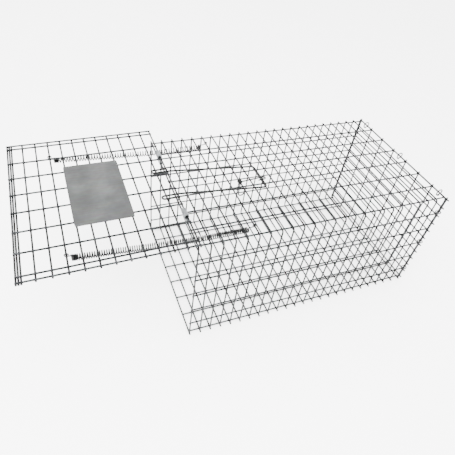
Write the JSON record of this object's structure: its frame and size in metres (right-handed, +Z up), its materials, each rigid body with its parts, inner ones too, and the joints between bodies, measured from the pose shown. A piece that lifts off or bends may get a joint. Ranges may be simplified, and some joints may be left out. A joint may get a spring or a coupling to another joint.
{
  "type": "live catch trap",
  "caption": "Welded-mesh live catch cage trap, shown set: sprung drop door held open over a U-shaped setting arm, trigger catch and bait hook.",
  "frame": {"origin": "on the ground, at the middle of the whole footprint with the door set open", "axes": "+X from the door end to the back, +Y to the far side, +Z up"},
  "size_m": [0.4666, 0.1926, 0.1576],
  "materials": {
    "galvanised_wire": "dull galvanised wire",
    "trigger_wire": "drawn steel wire, dull zinc",
    "spring_wire": "drawn spring wire, satin",
    "ring_wire": "galvanised clinching ring",
    "clip_sheet": "zinc plated sheet",
    "plate_sheet": "plain zinc sheet, faint brushed grain"
  },
  "bodies": {
    "cage": {"floor_mesh": "galvanised_wire", "far_side_mesh": "galvanised_wire", "top_mesh": "galvanised_wire", "near_side_mesh": "galvanised_wire", "back_mesh": "galvanised_wire", "back_top_rings": "ring_wire", "back_near_rings": "ring_wire", "back_far_rings": "ring_wire", "hinge_clip_near": "clip_sheet", "hinge_clip_far": "clip_sheet"},
    "door": {"hinge_rod": "galvanised_wire", "door_mesh": "galvanised_wire", "door_side_rods": "galvanised_wire", "door_end_rods": "galvanised_wire", "label_plate": "plate_sheet", "setting_arm": "trigger_wire"},
    "near_spring": {"spring_near": "spring_wire"},
    "far_spring": {"spring_far": "spring_wire"},
    "trigger": {"trigger_catch": "trigger_wire", "bait_hook": "trigger_wire"}
  },
  "joints": [
    {"name": "door_hinge", "type": "hinge", "parent": "cage", "child": "door", "pos_m": [-0.07963, 0, 0.1539], "axis": [0, -1, 0], "range_deg": [0, 89]},
    {"name": "near_spring_hook", "type": "hinge", "parent": "cage", "child": "near_spring", "pos_m": [-0.01453, -0.0741, 0.1452], "axis": [0, -1, 0], "range_deg": [0, 61], "deforming": ["spring_near"]},
    {"name": "far_spring_hook", "type": "hinge", "parent": "cage", "child": "far_spring", "pos_m": [-0.01453, 0.0741, 0.1452], "axis": [0, -1, 0], "range_deg": [0, 61], "deforming": ["spring_far"]},
    {"name": "trigger_pivot", "type": "hinge", "parent": "cage", "child": "trigger", "pos_m": [-0.00183, -0.0066, 0.1452], "axis": [0, -1, 0], "range_deg": [0, 40]}
  ],
  "couplings": [
    {"joint": "near_spring_hook", "follows": "door_hinge", "ratio": 0.67437},
    {"joint": "far_spring_hook", "follows": "door_hinge", "ratio": 0.67437}
  ]
}
